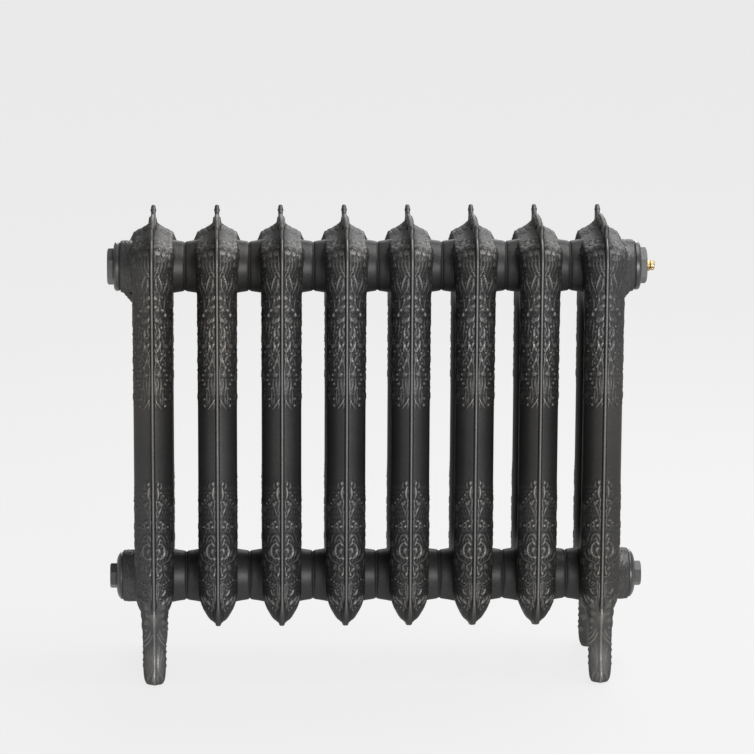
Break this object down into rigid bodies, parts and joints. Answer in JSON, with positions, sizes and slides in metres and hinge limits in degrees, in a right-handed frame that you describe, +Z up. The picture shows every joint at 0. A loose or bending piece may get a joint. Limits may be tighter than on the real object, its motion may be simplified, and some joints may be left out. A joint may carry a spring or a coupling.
{
  "type": "cast iron radiator",
  "caption": "Free-standing ornate cast iron column radiator: joined hollow sections with raised ridges, legs on the end sections, end plugs, reducing bushes and a brass air vent.",
  "frame": {"origin": "on the floor under the middle of the overall length and depth", "axes": "+X along the row of sections to the air-vent end, +Y to the back, +Z up"},
  "size_m": [0.6834, 0.198, 0.583],
  "materials": {
    "casting": "satin",
    "fitting": "satin",
    "nipple": "satin",
    "gasket": "matte",
    "vent": "satin",
    "seal": "satin"
  },
  "bodies": {
    "radiator": {"section_1": "casting", "section_2": "casting", "section_3": "casting", "section_4": "casting", "section_5": "casting", "section_6": "casting", "section_7": "casting", "section_8": "casting", "nipple_bottom_1": "nipple", "nipple_bottom_2": "nipple", "nipple_bottom_3": "nipple", "nipple_bottom_4": "nipple", "nipple_bottom_5": "nipple", "nipple_bottom_6": "nipple", "nipple_bottom_7": "nipple", "nipple_top_1": "nipple", "nipple_top_2": "nipple", "nipple_top_3": "nipple", "nipple_top_4": "nipple", "nipple_top_5": "nipple", "nipple_top_6": "nipple", "nipple_top_7": "nipple", "joint_gasket_bottom_1": "gasket", "joint_gasket_bottom_2": "gasket", "joint_gasket_bottom_3": "gasket", "joint_gasket_bottom_4": "gasket", "joint_gasket_bottom_5": "gasket", "joint_gasket_bottom_6": "gasket", "joint_gasket_bottom_7": "gasket", "joint_gasket_top_1": "gasket", "joint_gasket_top_2": "gasket", "joint_gasket_top_3": "gasket", "joint_gasket_top_4": "gasket", "joint_gasket_top_5": "gasket", "joint_gasket_top_6": "gasket", "joint_gasket_top_7": "gasket", "plug_top_left": "fitting", "vent_plug_top_right": "fitting", "bush_bottom_left": "fitting", "bush_bottom_right": "fitting", "plug_gasket": "gasket", "vent_plug_gasket": "gasket", "bush_gasket_left": "gasket", "bush_gasket_right": "gasket", "vent_body": "vent"},
    "vent_valve": {"vent_seal": "seal"},
    "vent_knob": {"vent_screw": "vent"}
  },
  "joints": [
    {"name": "vent_travel", "type": "slide", "parent": "radiator", "child": "vent_valve", "axis": [1, 0, 0], "range_m": [0, 0.0016]},
    {"name": "vent_turn", "type": "hinge", "parent": "vent_valve", "child": "vent_knob", "pos_m": [0.3315, 0, 0.518], "axis": [1, 0, 0], "range_deg": [0, 720]}
  ],
  "couplings": [
    {"joint": "vent_travel", "follows": "vent_turn", "m_per_rad": 0.00012732}
  ]
}
